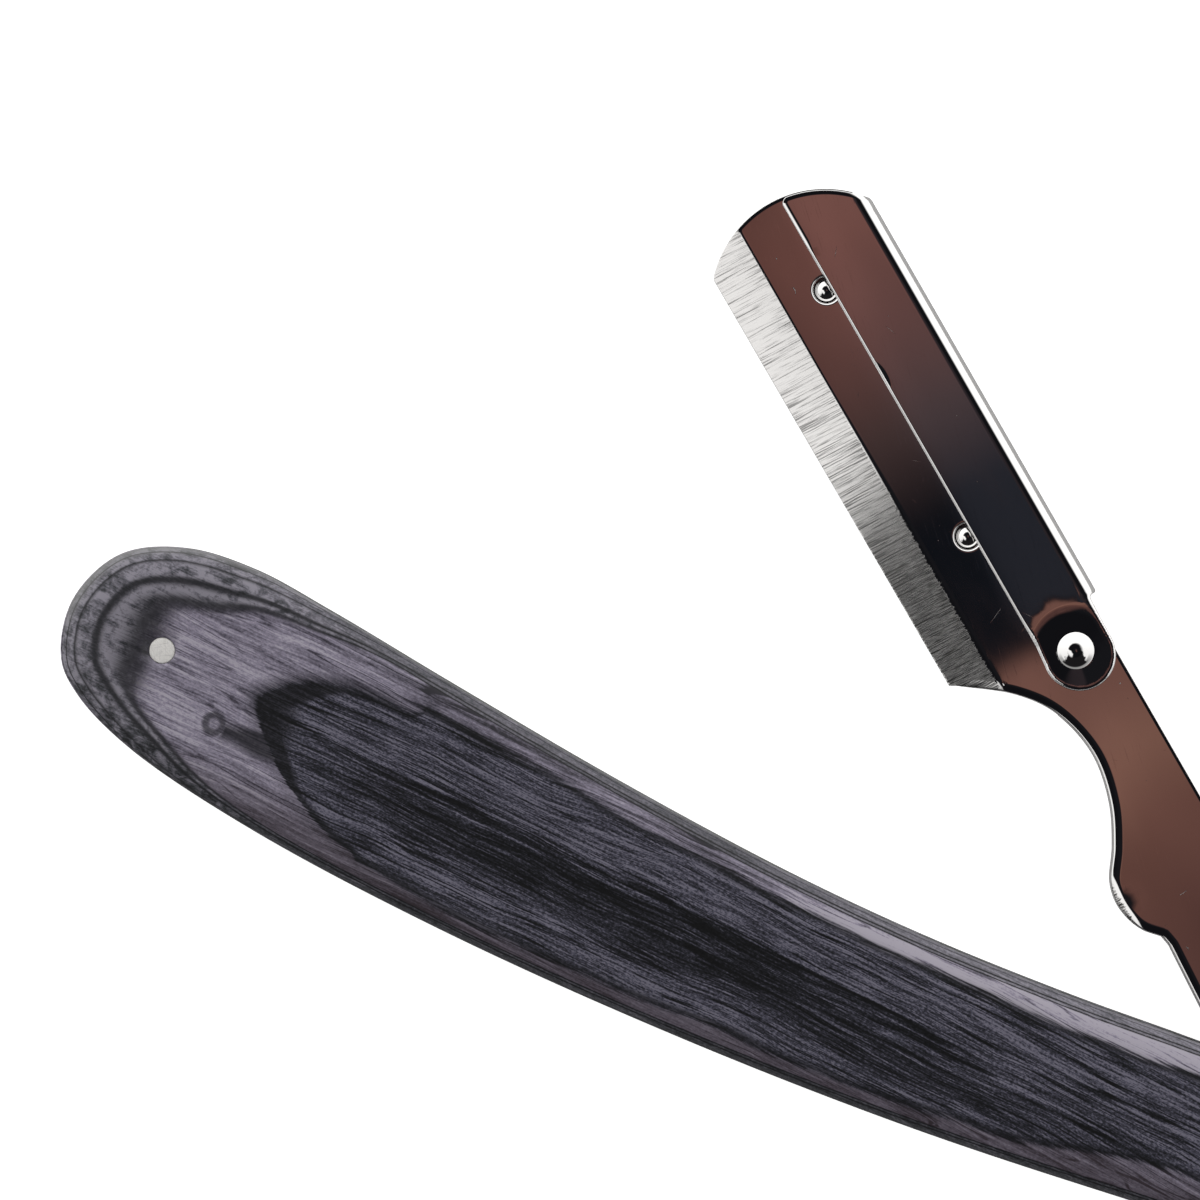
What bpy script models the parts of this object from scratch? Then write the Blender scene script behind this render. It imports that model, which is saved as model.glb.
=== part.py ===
"""A folding barber's razor: two laminated wood scales, and a steel arm whose head takes half a
blade between two leaves, held shut by a U-shaped clamp that swings on a rivet.

The razor lies on its side with the arm half open. The origin is on the pivot pin's axis, on the
plane that the handle lies on. +X runs from the handle's tail towards its pivot end, +Y towards
its back edge, and +Z up through its thickness. Sizes are in millimetres, and each mesh is made
in metres.

The arm and what it carries are drawn in the arm's own axes: x from the pivot towards the tip,
and y from the back towards the cutting edge.
"""

import math

import bmesh
import bpy
from mathutils import Matrix, Vector

MM = 0.001

# Thickness, from the plane that the handle lies on
SCALE_THICK = 2.8
SCALE_GAP = 5.2
HANDLE_THICK = 2 * SCALE_THICK + SCALE_GAP
MIDDLE = HANDLE_THICK / 2
TANG_THICK = 2.8
TANG_DROP = 0.2  # the tang sits this far behind the middle, so that the rivet's dome clears
TANG_BACK = MIDDLE - TANG_DROP - TANG_THICK / 2
TANG_FRONT = TANG_BACK + TANG_THICK
FRONT_LEAF_THICK = 1.0
BACK_LEAF_THICK = 0.8
SHEET_THICK = 0.5
SHEET_GAP = 0.1  # between thin sheets that lie on each other, and where the blade goes
LIFT_GAP = 0.3  # behind the back leaf, so that it can tip while the clamp opens

FRONT_LEAF_BACK = TANG_FRONT - FRONT_LEAF_THICK
BACK_LEAF_FRONT = FRONT_LEAF_BACK - SHEET_GAP
BACK_LEAF_BACK = BACK_LEAF_FRONT - BACK_LEAF_THICK
CLAMP_FRONT = TANG_FRONT + SHEET_GAP + SHEET_THICK
CLAMP_BACK = BACK_LEAF_BACK - LIFT_GAP - SHEET_THICK

# Scales
SIDE_WALL = 1.3  # straight part of a scale's edge
SHOULDER = 4.5  # how far in from the outline the outer face becomes flat
TAIL_TAPER = 0.6  # how much thinner a scale gets at its tail
TAPER_FROM, TAPER_TO = -98.0, -128.0
MIDLINE = [(-118.5, 2.75), (-104, 1.2), (-84, -1.1), (-61, -2.8), (-38, -2.9), (-19, -1.9), (0, -0.6)]
OUTLINE = [
    (8.1, -0.7), (6.0, 4.2), (0, 6.5), (-18, 5.95), (-30, 5.4), (-44, 5.25), (-58, 5.85),
    (-76, 7.65), (-94, 10.1), (-106, 11.85), (-114, 12.7), (-120.7, 12.0), (-125.6, 9.2),
    (-127.9, 3.8), (-126.8, -1.5), (-124.1, -4.0), (-118, -6.6), (-105, -9.15), (-85, -11.0),
    (-62, -11.66), (-40, -11.2), (-20, -9.75), (0, -7.7), (6.0, -5.4),
]
INSETS = [0.0, 0.35, 1.1, 2.4, SHOULDER]

# Pins and washers
PIN_RADIUS = 1.18
PIN_FIT = 0.1
TAIL_PIN = MIDLINE[0]
WASHER_RADIUS = 4.0
WEDGE_FROM = -107.5
WEDGE_INSET = 0.5

# Arm, in its own axes
REST_ANGLE = 142.45  # from +X to the arm's x axis
BACK_EDGE = -5.25
TIP_CENTRE, TIP_RADIUS = (93.1, 2.1), 10.45
EDGE_TIP, EDGE_HEEL = (100.0, 9.85), (57.2, 9.65)
THROAT = [(56.9, 9.1), (53.5, 4.8), (50.3, 2.5), (45.4, 1.36), (40.7, 2.2), (37, 4.0),
          (34.3, 5.8), (32, 6.25), (29.4, 5.6), (27.7, 4.2)]
TANG_EDGE = [(26.6, 4.0), (21, 4.3), (9, 4.9), (0, 5.0), (-6, 4.2), (-11.5, 1.9), (-16, -1.6),
             (-19.6, -6.0), (-20.6, -8.6), (-19.4, -9.6), (-17.6, -8.6), (-14.5, -6.2),
             (-9, -4.9), (-2, -4.9), (6, -5.2)]
LEAF_ROOT = 49.9  # where the tang's full thickness ends behind the head
GRIND_FROM = 5.8  # where the ground bevel along the edge begins
GRIND_EDGE = 0.25  # a leaf's thickness at its edge
STUDS = {"upper_stud": (94.1, 1.4), "lower_stud": (68.2, 1.4)}
STUD_RADIUS = 1.0
STUD_SHANK = 0.7
STUD_HOLE, STUD_SINK = 1.2, 1.5
STUD_TOP = TANG_FRONT - 0.05

# Swing clamp, in the arm's axes
RIVET = (54.3, -1.9)
RIVET_SHANK, RIVET_HEAD, DOME_RISE = 0.9, 1.68, 0.55
CLAMP_EDGE = 1.0
CLAMP_SPINE = -6.3
CLAMP_STEP = 58.0  # where the bend stops and the tongue begins
BEND_RADIUS = 1.25
BEND_TIP = 100.0  # where the bend ends near the tip
TONGUE, TONGUE_RADIUS = (53.8, -2.05), 3.3
LEAF_HINGE = 51.8  # where the back leaf tips
BACK_LEAF = [(58.3, 9.1), (55.9, 5.6), (53.6, 2.6)]
BACK_LEAF_ROOT = 2.9  # radius of the back leaf's round root, about the rivet


def clear_scene():
    for thing in list(bpy.data.objects):
        bpy.data.objects.remove(thing)


def material(name, colour, roughness, metallic):
    made = bpy.data.materials.new(name)
    made.use_nodes = True
    shader = made.node_tree.nodes["Principled BSDF"]
    shader.inputs["Base Color"].default_value = (*colour, 1)
    shader.inputs["Roughness"].default_value = roughness
    shader.inputs["Metallic"].default_value = metallic
    return made


def curve(points, steps, closed=False):
    """A smooth line through the points, with `steps` pieces between each two."""
    points = [Vector(p) for p in points]
    count = len(points)
    line = []
    for i in range(count if closed else count - 1):
        near, far = points[i], points[(i + 1) % count]
        before = points[i - 1] if closed or i else near * 2 - far
        after = points[(i + 2) % count] if closed or i + 2 < count else far * 2 - near
        spans = [max((q - p).length, 1e-6) ** 0.5 for p, q in ((before, near), (near, far), (far, after))]
        leave = (near - before) / spans[0] - (far - before) / (spans[0] + spans[1]) + (far - near) / spans[1]
        reach = (far - near) / spans[1] - (after - near) / (spans[1] + spans[2]) + (after - far) / spans[2]
        for k in range(steps):
            t = k / steps
            line.append(near * (2 * t**3 - 3 * t**2 + 1) + far * (3 * t**2 - 2 * t**3)
                        + leave * spans[1] * (t**3 - 2 * t**2 + t) + reach * spans[1] * (t**3 - t**2))
    return line if closed else line + [points[-1]]


def arc(centre, radius, start, end, steps):
    """Points round a centre, from one angle to another in degrees."""
    angles = [math.radians(start + (end - start) * k / steps) for k in range(steps + 1)]
    return [Vector((centre[0] + radius * math.cos(a), centre[1] + radius * math.sin(a))) for a in angles]


def finished(name, mesh, finish, parent=None, at=(0, 0, 0)):
    """An object from a bmesh in millimetres, with its origin moved to `at`."""
    bmesh.ops.translate(mesh, verts=mesh.verts, vec=-Vector(at))
    bmesh.ops.scale(mesh, verts=mesh.verts, vec=(MM, MM, MM))
    bmesh.ops.recalc_face_normals(mesh, faces=mesh.faces)
    data = bpy.data.meshes.new(name)
    mesh.to_mesh(data)
    mesh.free()
    data.shade_smooth()
    data.set_sharp_from_angle(angle=math.radians(30))
    if finish:
        data.materials.append(finish)
    made = bpy.data.objects.new(name, data)
    bpy.context.collection.objects.link(made)
    made.parent = parent
    made.location = Vector(at) * MM
    return made


def prism(outline, low, high):
    """A plate of the outline, from one height to another."""
    mesh = bmesh.new()
    face = mesh.faces.new([mesh.verts.new((p[0], p[1], low)) for p in outline])
    raised = bmesh.ops.extrude_face_region(mesh, geom=[face])["geom"]
    lifted = [v for v in raised if isinstance(v, bmesh.types.BMVert)]
    bmesh.ops.translate(mesh, verts=lifted, vec=(0, 0, high - low))
    return mesh


def turned(profile, centre, segments=24):
    """A body turned round an upright axis from (radius, height) points that begin and end on it."""
    mesh = bmesh.new()
    rings = []
    for radius, height in profile:
        if radius:
            ring = arc(centre, radius, 0, 360 * (1 - 1 / segments), segments - 1)
        else:
            ring = [Vector(centre)]
        rings.append([mesh.verts.new((p.x, p.y, height)) for p in ring])
    for low, high in zip(rings, rings[1:]):
        for k in range(segments):
            corners = [low[k % len(low)], low[(k + 1) % len(low)], high[(k + 1) % len(high)], high[k % len(high)]]
            mesh.faces.new(list(dict.fromkeys(corners)))
    flat = math.radians(0.1)
    bmesh.ops.dissolve_limit(mesh, angle_limit=flat, verts=mesh.verts, edges=mesh.edges)
    return mesh


def cylinder(radius, low, high, centre=(0, 0), segments=24):
    return prism(arc(centre, radius, 0, 360 * (1 - 1 / segments), segments - 1), low, high)


def cut(target, mesh, operation="DIFFERENCE"):
    """Cuts the target with a hidden cutter that keeps the target's parent and place."""
    cutter = finished(f"{target.name}_cutter", mesh, None, target.parent, target.location / MM)
    cutter.hide_render = True
    cutter.display_type = "WIRE"
    change = target.modifiers.new("cut", "BOOLEAN")
    change.operation = operation
    change.solver = "EXACT"
    change.object = cutter


def crown(x, inset):
    """Height of a scale's outer face over its inner face, at a distance in from the outline."""
    share = min(1.0, inset / SHOULDER)
    rise = (SCALE_THICK - SIDE_WALL) * math.sqrt(1 - (1 - share) ** 2)
    along = min(1.0, max(0.0, (x - TAPER_FROM) / (TAPER_TO - TAPER_FROM)))
    return SIDE_WALL + rise - TAIL_TAPER * along**2 * (3 - 2 * along)


def reach(outline, start, direction):
    """Distance from a point to the outline, the way that the direction points."""
    best = math.inf
    for p, q in zip(outline, outline[1:] + outline[:1]):
        side = q - p
        across = direction.cross(side)
        if abs(across) < 1e-9:
            continue
        away = (p - start).cross(side) / across
        share = (p - start).cross(direction) / across
        if away > 0 and -1e-6 <= share <= 1 + 1e-6:
            best = min(best, away)
    return best


def spokes(steps, fan):
    """(midline point, direction) pairs round the whole handle, counter-clockwise from the pivot end."""
    middle = curve(MIDLINE, steps)[::-1]
    ahead = [(q - p).normalized() for p, q in zip(middle, middle[1:])]
    ahead = [ahead[0]] + [(p + q).normalized() for p, q in zip(ahead, ahead[1:])] + [ahead[-1]]
    upper = [(p, Vector((d.y, -d.x))) for p, d in zip(middle, ahead)]
    lower = [(p, -side) for p, side in reversed(upper)]
    turns = [Matrix.Rotation(math.pi * k / fan, 2) for k in range(1, fan)]
    tail = [(middle[-1], turn @ upper[-1][1]) for turn in turns]
    end = [(middle[0], turn @ lower[-1][1]) for turn in turns]
    return upper + tail + lower + end


def scale(name, inner, outward, finish):
    """One scale: flat inside, with a crowned outer face. `outward` is +1 or -1 along Z."""
    mesh = bmesh.new()
    edge = curve(OUTLINE, 6, closed=True)
    rays = [(p, d, reach(edge, p, d)) for p, d in spokes(4, 10)]

    def ring(inset, flat=False):
        made = []
        for p, d, far in rays:
            q = p + d * (far - inset)
            height = 0 if flat else crown(q.x, inset)
            made.append(mesh.verts.new((q.x, q.y, inner + outward * height)))
        return made

    rings = [ring(0, flat=True)] + [ring(inset) for inset in INSETS]
    mesh.faces.new(rings[0])
    ridge = {}
    for p, _, far in rays:
        if p.freeze() not in ridge:
            ridge[p] = mesh.verts.new((p.x, p.y, inner + outward * crown(p.x, far)))
    rings.append([ridge[p] for p, _, _ in rays])
    for low, high in zip(rings, rings[1:]):
        for k in range(len(rays)):
            n = (k + 1) % len(rays)
            mesh.faces.new(list(dict.fromkeys([low[k], low[n], high[n], high[k]])))
    bmesh.ops.dissolve_limit(mesh, angle_limit=math.radians(0.05), verts=mesh.verts, edges=mesh.edges)
    made = finished(name, mesh, finish)
    low, high = sorted((inner - outward, inner + outward * (SCALE_THICK + 1)))
    for centre in ((0, 0), TAIL_PIN):
        cut(made, cylinder(PIN_RADIUS + PIN_FIT, low, high, centre))
    return made


def tail_wedge(finish):
    """The block between the scales at the tail."""
    edge = curve(OUTLINE, 6, closed=True)
    shape = [p + d * (reach(edge, p, d) - WEDGE_INSET) for p, d in spokes(8, 14)]
    shape = [p for p in shape if p.x < WEDGE_FROM]
    low, high = SCALE_THICK + SHEET_GAP, SCALE_THICK + SCALE_GAP - SHEET_GAP
    made = finished("tail_wedge", prism(shape, low, high), finish)
    cut(made, cylinder(PIN_RADIUS + PIN_FIT, low - 1, high + 1, TAIL_PIN))


def pins_and_washers(steel, brass):
    height = crown(TAIL_PIN[0], SHOULDER)
    tail_low, tail_high = SCALE_THICK - height, SCALE_THICK + SCALE_GAP + height
    finished("tail_pin", cylinder(PIN_RADIUS, tail_low, tail_high, TAIL_PIN), steel, at=(*TAIL_PIN, 0))
    finished("pivot_pin", cylinder(PIN_RADIUS, 0, HANDLE_THICK), steel)
    seats = {
        "pivot_washer_back": (SCALE_THICK + SHEET_GAP, TANG_BACK - SHEET_GAP),
        "pivot_washer_front": (TANG_FRONT + SHEET_GAP, SCALE_THICK + SCALE_GAP - SHEET_GAP),
    }
    for name, (low, high) in seats.items():
        washer = finished(name, cylinder(WASHER_RADIUS, low, high, segments=32), brass)
        cut(washer, cylinder(PIN_RADIUS + PIN_FIT, low - 1, high + 1))


def tip_arc(shrink, low_y, high_y, steps):
    """The rounded tip, from the back side's y to the edge side's, `shrink` inside the arm's."""
    radius = TIP_RADIUS - shrink
    start, end = (math.degrees(math.asin((y - TIP_CENTRE[1]) / radius)) for y in (low_y, high_y))
    return arc(TIP_CENTRE, radius, start, end, steps)


def grind(low, high, edge_y):
    """Cutter for the ground bevel: from a leaf's face at `low` to its thickness at the edge."""
    slope = (high - low) / (edge_y - GRIND_FROM)
    out = 3.0
    across = [(GRIND_FROM, low), (GRIND_FROM + out + edge_y, low + slope * (out + edge_y)),
              (GRIND_FROM + out + edge_y, low - math.copysign(out, slope)),
              (GRIND_FROM, low - math.copysign(out, slope))]
    mesh = prism(across, EDGE_HEEL[0] - 5, EDGE_TIP[0] + 5)
    for v in mesh.verts:
        v.co = Vector((v.co.z, v.co.x, v.co.y))
    return mesh


def blade_arm(pivot, steel):
    """Tang, curved tail and front leaf in one piece of steel."""
    shape = [Vector((8, BACK_EDGE))]
    shape += tip_arc(0, BACK_EDGE + 0.15, EDGE_TIP[1] - 0.3, 12)
    shape += [Vector(EDGE_TIP), Vector(EDGE_HEEL)]
    shape += curve(THROAT, 3) + curve(TANG_EDGE, 3)
    made = finished("blade_arm", prism(shape, TANG_BACK, TANG_FRONT), steel, pivot)
    hollow = [(LEAF_ROOT, -20), (120, -20), (120, 20), (LEAF_ROOT, 20)]
    cut(made, prism(hollow, TANG_BACK - 1, FRONT_LEAF_BACK))
    cut(made, grind(TANG_FRONT, FRONT_LEAF_BACK + GRIND_EDGE, EDGE_TIP[1]))
    cut(made, cylinder(PIN_RADIUS + PIN_FIT, TANG_BACK - 1, TANG_FRONT + 1))
    cut(made, cylinder(RIVET_SHANK + PIN_FIT, FRONT_LEAF_BACK - 1, TANG_FRONT + 1, RIVET, 16))
    sink = STUD_SINK - STUD_HOLE
    for place in STUDS.values():
        hole = [(0, FRONT_LEAF_BACK - 1), (STUD_HOLE, FRONT_LEAF_BACK - 1), (STUD_HOLE, TANG_FRONT - sink),
                (STUD_SINK, TANG_FRONT), (STUD_SINK, TANG_FRONT + 1), (0, TANG_FRONT + 1)]
        cut(made, turned(hole, place))


def back_leaf(pivot, steel):
    """The rear plate that presses the blade on to its studs."""
    shape = tip_arc(0.3, BACK_EDGE + 0.35, EDGE_TIP[1] - 0.8, 12)
    shape += curve(BACK_LEAF, 3)
    shape += arc(RIVET, BACK_LEAF_ROOT, 110, 250, 10)
    shape.append(Vector((RIVET[0] + 3, BACK_EDGE + 0.35)))
    hinge = (LEAF_HINGE, RIVET[1], (BACK_LEAF_FRONT + BACK_LEAF_BACK) / 2)
    made = finished("back_leaf", prism(shape, BACK_LEAF_BACK, BACK_LEAF_FRONT), steel, pivot, hinge)
    cut(made, grind(BACK_LEAF_BACK, BACK_LEAF_FRONT - GRIND_EDGE, EDGE_TIP[1] - 0.5))
    cut(made, cylinder(RIVET_SHANK + 2 * PIN_FIT, BACK_LEAF_BACK - 1, BACK_LEAF_FRONT + 1, RIVET, 16))
    for name, place in STUDS.items():
        cut(made, cylinder(STUD_SHANK + PIN_FIT, BACK_LEAF_BACK - 1, BACK_LEAF_FRONT + 1, place, 16))
        seat = BACK_LEAF_FRONT + SHEET_GAP
        straight = STUD_TOP - 0.35
        dome = [(STUD_RADIUS * math.cos(a), straight + 0.35 * math.sin(a))
                for a in (math.radians(15 * k) for k in range(6))]
        profile = [(0, BACK_LEAF_BACK), (STUD_SHANK, BACK_LEAF_BACK), (STUD_SHANK, seat), (STUD_RADIUS, seat)]
        finished(name, turned(profile + dome + [(0, STUD_TOP)], place, 16), steel, pivot, hinge)


def swing_clamp(pivot, steel):
    """A U of sheet steel over the head's back, with a round tongue on each side of the rivet."""
    def channel(radius, low, high, spine):
        bottom = arc((spine + radius, low + radius), radius, 270, 180, 6)
        top = arc((spine + radius, high - radius), radius, 180, 90, 6)
        return bottom + top

    inner = channel(BEND_RADIUS - SHEET_THICK, CLAMP_BACK + SHEET_THICK, CLAMP_FRONT - SHEET_THICK,
                    CLAMP_SPINE + SHEET_THICK)
    outer = channel(BEND_RADIUS, CLAMP_BACK, CLAMP_FRONT, CLAMP_SPINE)
    edge = CLAMP_EDGE + 3
    across = [Vector((edge, CLAMP_BACK))] + outer + [Vector((edge, CLAMP_FRONT))]
    across += [Vector((edge, CLAMP_FRONT - SHEET_THICK))] + inner[::-1]
    across += [Vector((edge, CLAMP_BACK + SHEET_THICK))]
    mesh = prism(across, RIVET[0] - 5, TIP_CENTRE[0] + TIP_RADIUS + 1)
    for v in mesh.verts:
        v.co = Vector((v.co.z, v.co.x, v.co.y))
    at = (*RIVET, CLAMP_BACK)
    made = finished("swing_clamp", mesh, steel, pivot, at)
    shape = tip_arc(0.15, CLAMP_SPINE + 1.2, CLAMP_EDGE, 8)
    shape += arc(TONGUE, TONGUE_RADIUS, 68, 270, 16)
    shape += [Vector((CLAMP_STEP, TONGUE[1] - TONGUE_RADIUS)), Vector((CLAMP_STEP, CLAMP_SPINE - 1)),
              Vector((BEND_TIP, CLAMP_SPINE - 1)), Vector((BEND_TIP, CLAMP_SPINE))]
    cut(made, prism(shape, CLAMP_BACK - 1, CLAMP_FRONT + 1), "INTERSECT")
    cut(made, cylinder(RIVET_SHANK + PIN_FIT, CLAMP_BACK - 1, CLAMP_FRONT + 1, RIVET, 16))


def clamp_rivet(pivot, steel):
    seat = CLAMP_FRONT + SHEET_GAP
    burr_low = CLAMP_BACK - SHEET_GAP - 0.35
    rim = 0.12
    dome = [(RIVET_HEAD * math.cos(a), seat + rim + (DOME_RISE - rim) * math.sin(a))
            for a in (math.radians(15 * k) for k in range(6))]
    profile = [(0, burr_low), (RIVET_SHANK, burr_low), (RIVET_SHANK, seat), (RIVET_HEAD, seat)]
    at = (*RIVET, burr_low)
    finished("clamp_rivet", turned(profile + dome + [(0, seat + DOME_RISE)], RIVET), steel, pivot, at)
    washer = cylinder(RIVET_HEAD, burr_low, CLAMP_BACK - SHEET_GAP, RIVET)
    burr = finished("clamp_rivet_burr", washer, steel, pivot, at)
    cut(burr, cylinder(RIVET_SHANK + PIN_FIT, burr_low - 1, CLAMP_BACK + 1, RIVET, 16))


def build():
    clear_scene()
    wood = material("laminated_wood", (0.06, 0.06, 0.075), 0.5, 0)
    mirror = material("polished_steel", (0.62, 0.6, 0.58), 0.08, 1)
    satin = material("satin_steel", (0.6, 0.6, 0.58), 0.35, 1)
    brass = material("brass", (0.7, 0.5, 0.22), 0.35, 1)
    fibre = material("black_fibre", (0.03, 0.03, 0.035), 0.6, 0)
    scale("back_scale", SCALE_THICK, -1, wood)
    scale("front_scale", SCALE_THICK + SCALE_GAP, 1, wood)
    tail_wedge(fibre)
    pins_and_washers(satin, brass)
    pivot = bpy.data.objects.new("arm_pivot", None)
    bpy.context.collection.objects.link(pivot)
    pivot.rotation_euler.z = math.radians(REST_ANGLE)
    blade_arm(pivot, mirror)
    back_leaf(pivot, mirror)
    swing_clamp(pivot, mirror)
    clamp_rivet(pivot, mirror)


build()
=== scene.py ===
"""The looks of a folding barber's razor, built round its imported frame.

Every piece is rebuilt finer than its CAD solid, in the same place. Heights come from the frame;
plan shapes are in millimetres: the handle's about the pivot, and the arm's in the arm's own
axes, x from the pivot towards the tip and y from the back towards the cutting edge.
"""

import math

import bmesh
import bpy
import numpy as np
from mathutils import Matrix, Vector
from mathutils.geometry import delaunay_2d_cdt


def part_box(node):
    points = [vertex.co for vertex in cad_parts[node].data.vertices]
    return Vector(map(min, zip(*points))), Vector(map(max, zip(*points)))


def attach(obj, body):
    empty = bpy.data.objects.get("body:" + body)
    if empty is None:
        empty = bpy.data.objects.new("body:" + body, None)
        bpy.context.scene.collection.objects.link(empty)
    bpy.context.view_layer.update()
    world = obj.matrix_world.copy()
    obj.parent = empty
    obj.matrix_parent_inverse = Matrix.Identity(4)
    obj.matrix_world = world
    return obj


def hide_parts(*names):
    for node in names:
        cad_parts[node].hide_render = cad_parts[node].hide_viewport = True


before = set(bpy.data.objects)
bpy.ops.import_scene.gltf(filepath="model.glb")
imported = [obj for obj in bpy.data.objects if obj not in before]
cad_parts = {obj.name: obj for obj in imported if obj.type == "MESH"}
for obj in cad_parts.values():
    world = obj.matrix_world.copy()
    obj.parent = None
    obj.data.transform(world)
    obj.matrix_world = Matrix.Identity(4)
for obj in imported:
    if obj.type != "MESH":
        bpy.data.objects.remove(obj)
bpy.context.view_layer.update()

MM = 0.001
ROUND_STEPS = 64  # sides of a round part
SHARP_ANGLE = math.radians(38)  # edges bent further than this are shaded as sharp
REST_ANGLE = math.radians(142.45)
ARM_AXES = Matrix.Rotation(REST_ANGLE, 4, "Z")


def heights(node):
    """The lowest and the highest Z of a CAD node, in millimetres."""
    low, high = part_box(node)
    return low.z / MM, high.z / MM


# Handle
HANDLE_LOW, GAP_LOW = heights("back_scale")
GAP_HIGH, HANDLE_HIGH = heights("front_scale")
SCALE_THICK = GAP_LOW - HANDLE_LOW
SIDE_WALL = 1.3
SHOULDER = 4.5
TAIL_TAPER = 0.6
TAPER_FROM, TAPER_TO = -98.0, -128.0
MIDLINE = [(-118.5, 2.75), (-104, 1.2), (-84, -1.1), (-61, -2.8), (-38, -2.9), (-19, -1.9), (0, -0.6)]
OUTLINE = [
    (8.1, -0.7), (6.0, 4.2), (0, 6.5), (-18, 5.95), (-30, 5.4), (-44, 5.25), (-58, 5.85),
    (-76, 7.65), (-94, 10.1), (-106, 11.85), (-114, 12.7), (-120.7, 12.0), (-125.6, 9.2),
    (-127.9, 3.8), (-126.8, -1.5), (-124.1, -4.0), (-118, -6.6), (-105, -9.15), (-85, -11.0),
    (-62, -11.66), (-40, -11.2), (-20, -9.75), (0, -7.7), (6.0, -5.4),
]
PIN_RADIUS = 1.18
PIN_SEAM = 0.025  # dark line round a pin in its scale
PIN_BORE = PIN_RADIUS + 0.1
TAIL_PIN = MIDLINE[0]
WEDGE_FROM, WEDGE_INSET = -107.5, 0.5

# Arm
TANG_LOW, TANG_HIGH = heights("blade_arm")
LEAF_LOW = TANG_HIGH - 1.0
BACK_EDGE = -5.25
TIP_CENTRE, TIP_RADIUS = (93.1, 2.1), 10.45
EDGE_TIP, EDGE_HEEL = (100.0, 9.85), (57.2, 9.65)
THROAT = [(56.9, 9.1), (53.5, 4.8), (50.3, 2.5), (45.4, 1.36), (40.7, 2.2), (37, 4.0),
          (34.3, 5.8), (32, 6.25), (29.4, 5.6), (27.7, 4.2)]
TANG_EDGE = [(26.6, 4.0), (21, 4.3), (9, 4.9), (0, 5.0), (-6, 4.2), (-11.5, 1.9), (-16, -1.6),
             (-19.6, -6.0), (-20.6, -8.6), (-19.4, -9.6), (-17.6, -8.6), (-14.5, -6.2),
             (-9, -4.9), (-2, -4.9), (6, -5.2)]
LEAF_ROOT = 49.9
GRIND_FROM = 5.8
STUDS = {"upper_stud": (94.1, 1.4), "lower_stud": (68.2, 1.4)}
STUD_HOLE = 1.2
STUD_SHANK, STUD_HEAD = 0.7, 1.09
RIVET, RIVET_HOLE = (54.3, -1.9), 1.0
RIVET_SHANK, RIVET_HEAD = 0.9, 1.68
BACK_LOW, BACK_HIGH = heights("back_leaf")
BACK_LEAF = [(58.3, 9.1), (55.9, 5.6), (53.6, 2.6)]
BACK_LEAF_ROOT = 2.9

# Swing clamp
CLAMP_LOW, CLAMP_HIGH = heights("swing_clamp")
SHEET = 0.5
CLAMP_EDGE, CLAMP_SPINE, CLAMP_STEP = 1.0, -6.3, 58.0
BEND_RADIUS = 1.25
TONGUE, TONGUE_RADIUS = (53.8, -2.05), 3.3
NICK, NICK_HALF, NICK_REACH, NICK_SLOPE, NICK_EASE = (84.8, 0.55), 1.42, 0.52, 0.11, 0.05
DISH_RADIUS, DISH_EASE = 4.6, 1.7


# -------- shapes

def curve(points, steps, closed=False):
    """A smooth line through the points, with `steps` pieces between each two."""
    points = [np.array(p, float) for p in points]
    count = len(points)
    line = []
    for i in range(count if closed else count - 1):
        near, far = points[i], points[(i + 1) % count]
        before = points[i - 1] if closed or i else near * 2 - far
        after = points[(i + 2) % count] if closed or i + 2 < count else far * 2 - near
        sides = ((before, near), (near, far), (far, after))
        s, m, e = (np.linalg.norm(q - p) ** 0.5 for p, q in sides)
        leave = (near - before) / s - (far - before) / (s + m) + (far - near) / m
        arrive = (far - near) / m - (after - near) / (m + e) + (after - far) / e
        for k in range(steps):
            t = k / steps
            line.append(near * (2 * t**3 - 3 * t**2 + 1) + far * (3 * t**2 - 2 * t**3)
                        + leave * m * (t**3 - 2 * t**2 + t) + arrive * m * (t**3 - t**2))
    return line if closed else line + [points[-1]]


def arc(centre, radius, start, end, steps):
    """Points round a centre, from one angle to another in degrees."""
    turn = np.radians(np.linspace(start, end, steps + 1))
    return list(np.stack([centre[0] + radius * np.cos(turn), centre[1] + radius * np.sin(turn)], 1))


def circle(centre, radius, steps=ROUND_STEPS):
    return arc(centre, radius, 0, 360 * (1 - 1 / steps), steps - 1)


def resampled(loop, spacing):
    """The closed loop with points added so that none are further apart than the spacing."""
    made = []
    for p, q in zip(loop, loop[1:] + loop[:1]):
        p, q = np.asarray(p, float), np.asarray(q, float)
        parts = max(1, math.ceil(np.linalg.norm(q - p) / spacing))
        made += [p + (q - p) * k / parts for k in range(parts)]
    return made


def smooth(value, low, high):
    """0 below low and 1 above high, with a smooth rise between."""
    share = np.clip((np.asarray(value, float) - low) / (high - low), 0, 1)
    return share**2 * (3 - 2 * share)


def edge_distance(points, loop):
    """Distance from each point to the closed loop."""
    a = np.asarray(loop, float)
    side = np.roll(a, -1, 0) - a
    square = np.maximum((side**2).sum(1), 1e-12)
    best = np.full(len(points), np.inf)
    for start in range(0, len(points), 2000):
        part = np.asarray(points[start:start + 2000], float)[:, None]
        share = np.clip(((part - a) * side).sum(2) / square, 0, 1)
        gap = np.linalg.norm(part - (a + side * share[..., None]), axis=2)
        best[start:start + 2000] = gap.min(1)
    return best


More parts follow.
